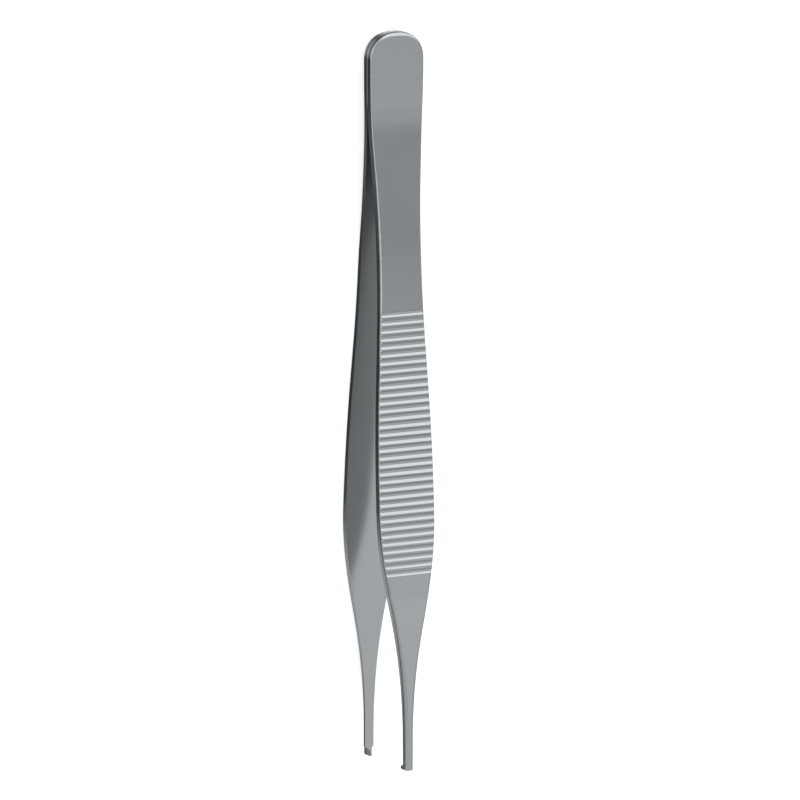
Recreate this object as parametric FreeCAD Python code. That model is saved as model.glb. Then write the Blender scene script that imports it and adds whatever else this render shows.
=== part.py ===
import FreeCAD, Part
import math
import os

Vec = FreeCAD.Vector
os.makedirs("parts", exist_ok=True)

# Toothed thumb forceps, about 12 cm long. Two blades of spring steel are welded flat on flat at
# the butt and part towards the tips. Lengths are in millimetres and angles in degrees.
# The arms are drawn with the weld plane at z = 0, the tips at y = 0 and the butt at +Y, then laid
# down on the outer face of the lower arm's grip.

# Straight runs of an arm, from the tip to the butt
TIP_LENGTH = 25.9
GRIP_LENGTH = 58.2
SPRING_LENGTH = 21.0
WELD_LENGTH = 14.9

# Slope of each run away from the weld plane. The arms were set by hand and differ a little.
UPPER_SPRING_ANGLE = 4.55
UPPER_GRIP_ANGLE = 3.8
UPPER_TIP_ANGLE = 0.65
LOWER_SPRING_ANGLE = 8.65
LOWER_GRIP_ANGLE = 3.0
LOWER_TIP_ANGLE = -0.95

# Radii of the bends between the runs
TIP_BEND_RADIUS = 90.0
SPRING_BEND_RADIUS = 60.0
WELD_BEND_RADIUS = 60.0

# Blade thickness at the end of the tip, at the foot of the grip, and from the spring to the butt
TIP_THICKNESS = 0.87
GRIP_THICKNESS = 1.25
SPRING_THICKNESS = 1.15

# Width of a blade, and where along it the tip starts to flare and the grip is widest
TIP_WIDTH = 1.6
GRIP_WIDTH = 10.3
NECK_WIDTH = 7.8
BUTT_WIDTH = 9.9
TIP_PARALLEL = 4.6
GRIP_WIDEST = 42.4
BUTT_ROUND = 4.6

# How far each end of a side curve runs straight on, as a share of the stretch that it crosses
SHOULDER_EASE = (0.51, 0.37)
GRIP_EASE = (0.49, 0.39)
SPRING_EASE = (0.45, 0.44)
BUTT_FULLNESS = 0.62

# Rounding of the outer edges: nearly half-round along the tip, fuller on the grip than on the
# spring, and fullest at the middle of the butt's end. The edges that meet at the weld are only eased.
TIP_ROUND = 0.6
GRIP_ROUND = 0.38
SPRING_ROUND = 0.22
BUTT_END_ROUND = 0.75
SEAM_ROUND = 0.1

# Cross grooves on the grip, cut with a round wheel
GROOVE_PITCH = 1.274
GROOVE_RADIUS = 0.9
GROOVE_DEPTH = 0.2
GROOVE_DEPTH_AT_ENDS = 0.11
PLAIN_ABOVE_GROOVES = 8.91
PLAIN_BELOW_GROOVES = 5.7

# Teeth: one on the lower arm drops between two on the upper arm. The crest starts back from the
# tip's end, falls a little towards the butt and ends in a steep back. The lower arm's tip is cut
# down to a tongue under its tooth, and both tips have their end corners cut off.
TOOTH_HEIGHT = 0.8
TOOTH_HALF_ANGLE = 28.0
TOOTH_CREST_WIDTH = 0.12
TOOTH_LEAN = 0.2
TOOTH_FALL = 0.15
TOOTH_BACK = 0.3
TOOTH_CLEARANCE = 0.06
SIDE_TEETH_LENGTH = 0.95
TONGUE_LENGTH = 1.25
TONGUE_WIDTH = 1.0
TONGUE_SHOULDER_ANGLE = 40.0
TIP_CORNER = 0.2

# How far teeth run into the blade, how far cutters run past it, and what counts as no distance
OVERLAP = 0.2
MARGIN = 5.0
TINY = 0.001


def tan(angle):
    return math.tan(math.radians(angle))


Y_BEND = TIP_LENGTH
Y_SPRING = Y_BEND + GRIP_LENGTH
Y_WELD = Y_SPRING + SPRING_LENGTH
Y_BUTT = Y_WELD + WELD_LENGTH


def run_corners(spring_angle, grip_angle, tip_angle):
    """Corners of the outer and of the inner face in side view, from the tip to the butt."""
    stations = (0, Y_BEND, Y_SPRING, Y_WELD, Y_BUTT)
    z_weld = SPRING_THICKNESS
    z_spring = z_weld + SPRING_LENGTH * tan(spring_angle)
    z_bend = z_spring + GRIP_LENGTH * tan(grip_angle)
    z_tip = z_bend + TIP_LENGTH * tan(tip_angle)
    heights = (z_tip, z_bend, z_spring, z_weld, z_weld)
    thicknesses = (TIP_THICKNESS, GRIP_THICKNESS, SPRING_THICKNESS, SPRING_THICKNESS, SPRING_THICKNESS)
    outer = [Vec(0, y, z) for y, z in zip(stations, heights)]
    inner = [Vec(0, y, z - t) for y, z, t in zip(stations, heights, thicknesses)]
    return outer, inner


def rounded_path(corners):
    """Straight runs through the corners, joined by tangent arcs at the three bends."""
    edges = []
    start = corners[0]
    for before, corner, after, radius in zip(
        corners, corners[1:], corners[2:], (TIP_BEND_RADIUS, SPRING_BEND_RADIUS, WELD_BEND_RADIUS)
    ):
        incoming = (corner - before).normalize()
        outgoing = (after - corner).normalize()
        turn = incoming.getAngle(outgoing)
        tangent = radius * math.tan(turn / 2)
        first = corner - incoming * tangent
        last = corner + outgoing * tangent
        inward = (outgoing - incoming).normalize()
        middle = corner + inward * (radius / math.cos(turn / 2) - radius)
        edges.append(Part.LineSegment(start, first).toShape())
        edges.append(Part.Arc(first, middle, last).toShape())
        start = last
    edges.append(Part.LineSegment(start, corners[-1]).toShape())
    return edges


def side_slab(outer, inner):
    """The bent strip, wider than the blade."""
    edges = rounded_path(outer)
    edges.append(Part.LineSegment(outer[-1], inner[-1]).toShape())
    edges += rounded_path(inner)[::-1]
    edges.append(Part.LineSegment(inner[0], outer[0]).toShape())
    face = Part.Face(Part.Wire(Part.__sortEdges__(edges)))
    span = max(GRIP_WIDTH, BUTT_WIDTH, NECK_WIDTH, TIP_WIDTH) + MARGIN
    face.translate(Vec(-span / 2, 0, 0))
    return face.extrude(Vec(span, 0, 0))


def side_curve(start, end, ease):
    """Curve between two points of the outline, parallel to the blade at both."""
    reach = end.y - start.y
    curve = Part.BezierCurve()
    curve.setPoles([start, start + Vec(0, ease[0] * reach, 0), end - Vec(0, ease[1] * reach, 0), end])
    return curve.toShape()


def outline_half():
    """Right half of the blade seen from above, from the tip to the middle of the butt."""
    tip = Vec(TIP_WIDTH / 2, 0, 0)
    flare = Vec(TIP_WIDTH / 2, TIP_PARALLEL, 0)
    widest = Vec(GRIP_WIDTH / 2, GRIP_WIDEST, 0)
    neck = Vec(NECK_WIDTH / 2, Y_SPRING, 0)
    shoulder = Vec(BUTT_WIDTH / 2, Y_BUTT - BUTT_ROUND, 0)
    top = Vec(0, Y_BUTT, 0)
    round_end = Part.BezierCurve()
    round_end.setPoles([
        shoulder,
        shoulder + Vec(0, BUTT_FULLNESS * BUTT_ROUND, 0),
        top + Vec(BUTT_FULLNESS * BUTT_WIDTH / 2, 0, 0),
        top,
    ])
    return [
        Part.LineSegment(tip, flare).toShape(),
        side_curve(flare, widest, SHOULDER_EASE),
        side_curve(widest, neck, GRIP_EASE),
        side_curve(neck, shoulder, SPRING_EASE),
        round_end.toShape(),
    ]


def side_edges(edges):
    """Those that belong to the blade's side, neither on its centre line nor at the tip's end."""
    return [edge for edge in edges if edge.BoundBox.YMax > TINY and edge.BoundBox.XMax > TINY]


def half_prism(height):
    """The right half drawn up from the weld plane. Its foot is rounded, which leaves a fine seam."""
    centre, tip = Vec(0, 0, 0), Vec(TIP_WIDTH / 2, 0, 0)
    edges = outline_half()
    edges.append(Part.LineSegment(Vec(0, Y_BUTT, 0), centre).toShape())
    edges.append(Part.LineSegment(centre, tip).toShape())
    prism = Part.Face(Part.Wire(Part.__sortEdges__(edges))).extrude(Vec(0, 0, height + MARGIN))
    foot = [edge for edge in prism.Edges if edge.BoundBox.ZMax < TINY]
    return prism.makeFillet(SEAM_ROUND, side_edges(foot))


def border_edges(blank):
    """Edges of the outer face along the blade's side."""
    seen = {}
    for face in blank.Faces:
        u0, u1, v0, v1 = face.ParameterRange
        if face.normalAt((u0 + u1) / 2, (v0 + v1) / 2).z > 0.9:
            for edge in face.Edges:
                seen.setdefault(edge.hashCode(), []).append(edge)
    return side_edges([found[0] for found in seen.values() if len(found) == 1])


def edge_radius(y):
    """Rounding of the outer edge at a place along the arm. It changes evenly between the stops."""
    stops = [
        (TIP_PARALLEL, min(TIP_ROUND, 0.45 * TIP_WIDTH)),
        (Y_BEND, GRIP_ROUND),
        (Y_SPRING, GRIP_ROUND),
        (Y_WELD, SPRING_ROUND),
        (Y_BUTT - BUTT_ROUND, SPRING_ROUND),
        (Y_BUTT, BUTT_END_ROUND),
    ]
    for (start, first), (end, last) in zip(stops, stops[1:]):
        if y < end:
            share = max((y - start) / (end - start), 0)
            return first + (last - first) * share
    return BUTT_END_ROUND


def rounded(blank):
    """The blank with its outer border rounded by a radius that follows the place along the arm."""
    document = FreeCAD.newDocument("rounding")
    base = document.addObject("Part::Feature", "base")
    base.Shape = blank
    fillet = document.addObject("Part::Fillet", "fillet")
    fillet.Base = base
    rows = []
    border = border_edges(blank)
    for number, edge in enumerate(blank.Edges, 1):
        if any(edge.isSame(wanted) for wanted in border):
            y_first = edge.valueAt(edge.FirstParameter).y
            y_last = edge.valueAt(edge.LastParameter).y
            rows.append((number, edge_radius(y_first), edge_radius(y_last)))
    fillet.Edges = rows
    document.recompute()
    result = fillet.Shape.Solids[0]
    FreeCAD.closeDocument(document.Name)
    return result


def grip_grooves(outer):
    """Round-bottomed cutters across the grip, one pitch apart and deepest midway."""
    foot, top = outer[1], outer[2]
    along = (foot - top).normalize()
    outward = Vec(0, -along.z, along.y)
    if outward.z < 0:
        outward = outward * -1
    room = (top - foot).Length - PLAIN_ABOVE_GROOVES - PLAIN_BELOW_GROOVES
    count = int(room / GROOVE_PITCH)
    cutters = []
    for number in range(count):
        place = top + along * (PLAIN_ABOVE_GROOVES + (number + 0.5) * GROOVE_PITCH)
        from_middle = 2 * (number + 0.5) / count - 1
        depth = GROOVE_DEPTH - (GROOVE_DEPTH - GROOVE_DEPTH_AT_ENDS) * from_middle ** 2
        centre = place + outward * (GROOVE_RADIUS - depth)
        start = Vec(-GRIP_WIDTH, centre.y, centre.z)
        cutters.append(Part.makeCylinder(GROOVE_RADIUS, 2 * GRIP_WIDTH, start, Vec(1, 0, 0)))
    return cutters


def prism_along_x(profile, width):
    """Solid with a profile given as (y, z) pairs, centred on the arm."""
    points = [Vec(-width / 2, y, z) for y, z in profile]
    return Part.Face(Part.makePolygon(points + points[:1])).extrude(Vec(width, 0, 0))


def prism_along_y(profile, start, length):
    """Solid with a profile given as (x, z) pairs, from start towards the butt."""
    points = [Vec(x, start, z) for x, z in profile]
    return Part.Face(Part.makePolygon(points + points[:1])).extrude(Vec(0, length, 0))


def prism_along_z(profile, start, height):
    """Solid with a profile given as (x, y) pairs, drawn up from start."""
    points = [Vec(x, y, start) for x, y in profile]
    return Part.Face(Part.makePolygon(points + points[:1])).extrude(Vec(0, 0, height))


def tooth_across(z_root, z_crest, grow):
    """Section of the tooth across the tip: a wedge with a narrow crest, enlarged by grow."""
    crest = TOOTH_CREST_WIDTH / 2 + grow
    root = crest + abs(z_crest - z_root) * tan(TOOTH_HALF_ANGLE)
    return [(-root, z_root), (-crest, z_crest), (crest, z_crest), (root, z_root)]


def tooth_along(z_inner, length, width):
    """The tooth's form in side view, hanging from the inner face and as wide as asked."""
    crest = z_inner - TOOTH_HEIGHT
    profile = [
        (0, z_inner + OVERLAP),
        (0, crest + TOOTH_LEAN),
        (TOOTH_LEAN, crest),
        (length - TOOTH_BACK, crest + TOOTH_FALL),
        (length, z_inner),
        (length, z_inner + OVERLAP),
    ]
    return prism_along_x(profile, width)


def eased_corners(arm, width, z_inner):
    """The tip's end with its two upright corners cut off at 45 degrees."""
    for side in (-1, 1):
        x = side * width / 2
        corner = [
            (x - side * TIP_CORNER, 0),
            (x + side * OVERLAP, TIP_CORNER + OVERLAP),
            (x + side * OVERLAP, -OVERLAP),
            (x - side * TIP_CORNER, -OVERLAP),
        ]
        arm = arm.cut(prism_along_z(corner, z_inner - MARGIN, 2 * MARGIN))
    return arm


def two_teeth(arm, z_inner):
    """A rib under the end of the tip, parted by a V notch into two side teeth."""
    rib = tooth_along(z_inner, SIDE_TEETH_LENGTH, TIP_WIDTH)
    notch = prism_along_y(
        tooth_across(z_inner - TOOTH_HEIGHT - OVERLAP, z_inner, TOOTH_CLEARANCE), -MARGIN, 2 * MARGIN
    )
    return eased_corners(arm.fuse(rib.cut(notch)), TIP_WIDTH, z_inner)


def one_tooth(arm, z_inner):
    """Both sides of the tip cut away to leave a tongue, with one wedge-shaped tooth on it."""
    edge = TONGUE_WIDTH / 2
    run_out = TONGUE_LENGTH + (TIP_WIDTH - edge) * tan(TONGUE_SHOULDER_ANGLE)
    for side in (-1, 1):
        shoulder = [
            (side * edge, -MARGIN),
            (side * edge, TONGUE_LENGTH),
            (side * TIP_WIDTH, run_out),
            (side * TIP_WIDTH, -MARGIN),
        ]
        arm = arm.cut(prism_along_z(shoulder, z_inner - MARGIN, 2 * MARGIN))
    across = tooth_across(z_inner + OVERLAP, z_inner - TOOTH_HEIGHT, 0)
    wedge = prism_along_y(across, 0, TONGUE_LENGTH + OVERLAP)
    tooth = wedge.common(tooth_along(z_inner, TONGUE_LENGTH, TONGUE_WIDTH))
    return eased_corners(arm.fuse(tooth), TONGUE_WIDTH, z_inner)


def blade(outer, inner):
    """One arm without its teeth, its weld face at z = 0 and its outer face upwards."""
    half = rounded(side_slab(outer, inner).common(half_prism(outer[0].z)).Solids[0])
    whole = half.fuse(half.mirror(Vec(0, 0, 0), Vec(1, 0, 0))).removeSplitter()
    return whole.cut(grip_grooves(outer))


def build():
    """Both arms by name, welded face to face and laid down as they come to rest."""
    outer, inner = run_corners(UPPER_SPRING_ANGLE, UPPER_GRIP_ANGLE, UPPER_TIP_ANGLE)
    upper = two_teeth(blade(outer, inner), inner[0].z)
    outer, inner = run_corners(LOWER_SPRING_ANGLE, LOWER_GRIP_ANGLE, LOWER_TIP_ANGLE)
    lower = one_tooth(blade(outer, inner), inner[0].z)
    lower.rotate(Vec(0, 0, 0), Vec(0, 1, 0), 180)
    arms = {"upper_arm_two_teeth": upper, "lower_arm_one_tooth": lower}
    # The lower arm's grip lies flat on z = 0, and the whole is centred over the origin.
    for shape in arms.values():
        shape.rotate(Vec(0, 0, 0), Vec(1, 0, 0), -LOWER_GRIP_ANGLE)
    box = Part.makeCompound(list(arms.values())).optimalBoundingBox()
    for shape in arms.values():
        shape.translate(Vec(0, -box.Center.y, -box.ZMin))
    return arms


for name, shape in build().items():
    shape.exportStep("parts/" + name + ".step")
    box = shape.optimalBoundingBox()
    print(name, len(shape.Solids), shape.isValid(), round(shape.Volume, 2), len(shape.Faces), box)
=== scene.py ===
import bpy
from mathutils import Matrix, Vector

# Toothed thumb forceps lying on a pale table, seen from above and from their left, a little from
# the butt's end. Lengths in metres. The frame has +Y from the tips to the butt, +X across the
# blades and +Z up.

# Camera: the way from the forceps to it, and the up direction of the picture
CAMERA_WAY = Vector((-0.5001, 0.2209, 0.8373))
CAMERA_UP = Vector((0.0828, 0.9747, -0.2079))
CAMERA_DISTANCE = 1.3428
CAMERA_AIM = Vector((0.00125, 0.00012, 0.00634))
CAMERA_LENS_MM = 374.4

# Table top and the wall all round it
TABLE_SIZE = 3.0
TABLE_GLOW = 0.58
WALL_RADIUS = 4.0
WALL_GLOW = 1.1
PAINT_ROUGHNESS = 0.9
PALE = (0.95, 0.93, 0.91, 1)
BLACK = (0, 0, 0, 1)

# Satin steel: its tone and roughness drift a little from place to place, under a fine grain
STEEL_COLOR = (0.508, 0.512, 0.512)
STEEL_ROUGHNESS = 0.16
CLOUD_SIZE = 0.011
CLOUD_DETAIL = 4
TONE_DRIFT = 0.03
ROUGHNESS_DRIFT = 0.02
GRAIN_SIZE = 0.00012
GRAIN_DETAIL = 2
GRAIN_DEPTH = 0.0000008

# The room's light. High up its brightness follows Y, the part of the direction looked in along
# the forceps, and low down it follows X. It fades from one to the other with Z.
ROOM_COLOR = (0.955, 1.0, 1.035)
ROOM_ABOVE = [
    (-1.0, 0.34), (-0.5, 0.46), (-0.26, 0.61), (-0.17, 0.53), (-0.08, 0.635), (0.03, 0.385)
]
ROOM_BELOW = [(-0.2, 0.05), (0.4, 0.36)]
LIT_Z = (-0.85, 0.70)

# Soft bright places: the way to each, the cosines of the angles where it begins and is full, and
# its brightness
BRIGHT_PLACES = [
    # Windows beyond the butt and over the left
    (Vector((0.50, 0.62, 0.60)), (0.80, 0.90), 1.4),
    (Vector((-0.50, 0.35, 0.79)), (0.82, 0.96), 1.3),
    # Light from below: at the tips, between the arms, at the butt's left corner and at its end
    (Vector((-0.42, -0.62, -0.66)), (0.89, 0.97), 0.55),
    (Vector((0.50, -0.20, -0.86)), (0.82, 0.95), 0.55),
    (Vector((-0.38, 0.28, -0.84)), (0.90, 0.97), 0.33),
    (Vector((0.60, 0.35, -0.72)), (0.90, 0.98), 1.1),
    # Panels round the table: beyond the tips, to the right of that, at the right and at the left
    (Vector((-0.25, -0.92, 0.25)), (0.80, 0.95), 1.1),
    (Vector((0.80, -0.60, 0.10)), (0.93, 0.99), 0.9),
    (Vector((0.95, 0.27, 0.00)), (0.87, 0.97), 1.0),
    (Vector((-0.95, 0.25, -0.10)), (0.89, 0.97), 0.9),
]

# A soft box over the table, to the right of the tips
BOX_AT = (0.20, -0.11, 0.35)
BOX_SIZE = (0.30, 0.20)
BOX_WATTS = 0.028


def new_material(name):
    """A new material with its node tree and its shader."""
    material = bpy.data.materials.new(name)
    material.use_nodes = True
    tree = material.node_tree
    return material, tree, tree.nodes["Principled BSDF"]


def scaled(color, level):
    """The colour at another brightness, with an alpha of 1."""
    return tuple(level * v for v in color) + (1,)


def noise(tree, place, size, detail):
    """Cloudy pattern with features of about the given size."""
    node = tree.nodes.new("ShaderNodeTexNoise")
    node.inputs["Scale"].default_value = 1 / size
    node.inputs["Detail"].default_value = detail
    tree.links.new(place, node.inputs["Vector"])
    return node.outputs["Fac"]


def satin_steel():
    """Satin steel with a cloudy drift and a fine grain."""
    material, tree, shader = new_material("satin_steel_finish")
    shader.inputs["Metallic"].default_value = 1.0
    place = tree.nodes.new("ShaderNodeTexCoord").outputs["Object"]
    cloud = noise(tree, place, CLOUD_SIZE, CLOUD_DETAIL)

    tone = tree.nodes.new("ShaderNodeMix")
    tone.data_type = "RGBA"
    tone.inputs["A"].default_value = scaled(STEEL_COLOR, 1 - TONE_DRIFT)
    tone.inputs["B"].default_value = scaled(STEEL_COLOR, 1 + TONE_DRIFT)
    tree.links.new(cloud, tone.inputs["Factor"])
    tree.links.new(tone.outputs["Result"], shader.inputs["Base Color"])

    rough = tree.nodes.new("ShaderNodeMapRange")
    rough.inputs["To Min"].default_value = STEEL_ROUGHNESS - ROUGHNESS_DRIFT
    rough.inputs["To Max"].default_value = STEEL_ROUGHNESS + ROUGHNESS_DRIFT
    tree.links.new(cloud, rough.inputs["Value"])
    tree.links.new(rough.outputs["Result"], shader.inputs["Roughness"])

    bump = tree.nodes.new("ShaderNodeBump")
    bump.inputs["Strength"].default_value = 1.0
    bump.inputs["Distance"].default_value = GRAIN_DEPTH
    tree.links.new(noise(tree, place, GRAIN_SIZE, GRAIN_DETAIL), bump.inputs["Height"])
    tree.links.new(bump.outputs["Normal"], shader.inputs["Normal"])
    return material


def stage_paint(thing, name, color, glow):
    """Matt paint for what stands round the forceps. It doesn't show in the steel."""
    material, tree, shader = new_material(name)
    shader.inputs["Base Color"].default_value = color
    shader.inputs["Roughness"].default_value = PAINT_ROUGHNESS
    shader.inputs["Specular IOR Level"].default_value = 0.0
    shader.inputs["Emission Color"].default_value = PALE
    shader.inputs["Emission Strength"].default_value = glow
    thing.data.materials.append(material)
    thing.visible_glossy = False


def table():
    """The pale table top that the forceps lie on."""
    bpy.ops.mesh.primitive_plane_add(size=TABLE_SIZE)
    top = bpy.context.object
    top.name = "table_top"
    stage_paint(top, "pale_table", PALE, TABLE_GLOW)


def wall():
    """A pale wall all round, which only closes the view and keeps no light out."""
    bpy.ops.mesh.primitive_uv_sphere_add(radius=WALL_RADIUS)
    shell = bpy.context.object
    shell.name = "room_wall"
    stage_paint(shell, "pale_wall", BLACK, WALL_GLOW)
    shell.visible_diffuse = False
    shell.visible_shadow = False


def level_ramp(tree, part, stops):
    """Brightness that follows one part of the direction."""
    spread = tree.nodes.new("ShaderNodeMapRange")
    spread.inputs["From Min"].default_value = -1
    tree.links.new(part, spread.inputs["Value"])
    ramp = tree.nodes.new("ShaderNodeValToRGB")
    ramp.color_ramp.interpolation = "EASE"
    while len(ramp.color_ramp.elements) < len(stops):
        ramp.color_ramp.elements.new(0.5)
    for element, (value, level) in zip(ramp.color_ramp.elements, stops):
        element.position = (value + 1) / 2
        element.color = scaled(ROOM_COLOR, level)
    tree.links.new(spread.outputs["Result"], ramp.inputs["Fac"])
    return ramp.outputs["Color"]


def soft_step(tree, part, limits):
    """0 below the first limit, 1 above the second and smooth between."""
    step = tree.nodes.new("ShaderNodeMapRange")
    step.interpolation_type = "SMOOTHSTEP"
    step.inputs["From Min"].default_value, step.inputs["From Max"].default_value = limits
    tree.links.new(part, step.inputs["Value"])
    return step.outputs["Result"]


def blend(tree, share, first, second):
    """Colour between two others, each a socket or a fixed colour."""
    mix = tree.nodes.new("ShaderNodeMix")
    mix.data_type = "RGBA"
    tree.links.new(share, mix.inputs["Factor"])
    for name, value in (("A", first), ("B", second)):
        if isinstance(value, tuple):
            mix.inputs[name].default_value = value
        else:
            tree.links.new(value, mix.inputs[name])
    return mix.outputs["Result"]


def room_light():
    """Soft light from overhead, dim from below, with the bright places laid over it."""
    world = bpy.data.worlds.new("soft_room")
    bpy.context.scene.world = world
    world.use_nodes = True
    tree = world.node_tree
    way_out = tree.nodes.new("ShaderNodeTexCoord").outputs["Generated"]
    split = tree.nodes.new("ShaderNodeSeparateXYZ")
    tree.links.new(way_out, split.inputs["Vector"])
    above = level_ramp(tree, split.outputs["Y"], ROOM_ABOVE)
    below = level_ramp(tree, split.outputs["X"], ROOM_BELOW)
    color = blend(tree, soft_step(tree, split.outputs["Z"], LIT_Z), below, above)
    for way, cosines, level in BRIGHT_PLACES:
        toward = tree.nodes.new("ShaderNodeVectorMath")
        toward.operation = "DOT_PRODUCT"
        toward.inputs[1].default_value = way.normalized()
        tree.links.new(way_out, toward.inputs[0])
        share = soft_step(tree, toward.outputs["Value"], cosines)
        color = blend(tree, share, color, scaled(ROOM_COLOR, level))
    tree.links.new(color, tree.nodes["Background"].inputs["Color"])


def soft_box():
    """A wide, weak lamp that looks straight down."""
    data = bpy.data.lights.new("soft_box", "AREA")
    data.shape = "RECTANGLE"
    data.size, data.size_y = BOX_SIZE
    data.energy = BOX_WATTS
    box = bpy.data.objects.new("soft_box", data)
    box.location = BOX_AT
    bpy.context.scene.collection.objects.link(box)


def camera():
    """The camera at the photo's angle, with the forceps upright in the picture."""
    data = bpy.data.cameras.new("camera")
    data.lens = CAMERA_LENS_MM
    eye = bpy.data.objects.new("camera", data)
    bpy.context.scene.collection.objects.link(eye)
    back = CAMERA_WAY.normalized()
    right = CAMERA_UP.cross(back).normalized()
    up = back.cross(right)
    turn = Matrix((right, up, back)).transposed().to_4x4()
    eye.matrix_world = Matrix.Translation(CAMERA_AIM + back * CAMERA_DISTANCE) @ turn
    bpy.context.scene.camera = eye


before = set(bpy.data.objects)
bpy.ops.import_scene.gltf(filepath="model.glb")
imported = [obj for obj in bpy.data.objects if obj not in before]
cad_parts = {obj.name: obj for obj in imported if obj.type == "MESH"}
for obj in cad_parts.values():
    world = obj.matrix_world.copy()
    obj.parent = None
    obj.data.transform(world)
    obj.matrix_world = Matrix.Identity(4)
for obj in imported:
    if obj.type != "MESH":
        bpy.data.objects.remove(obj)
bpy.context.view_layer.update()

steel = satin_steel()
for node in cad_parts.values():
    for slot in node.material_slots:
        slot.material = steel

table()
wall()
room_light()
soft_box()
camera()
bpy.context.scene.view_settings.view_transform = "Standard"
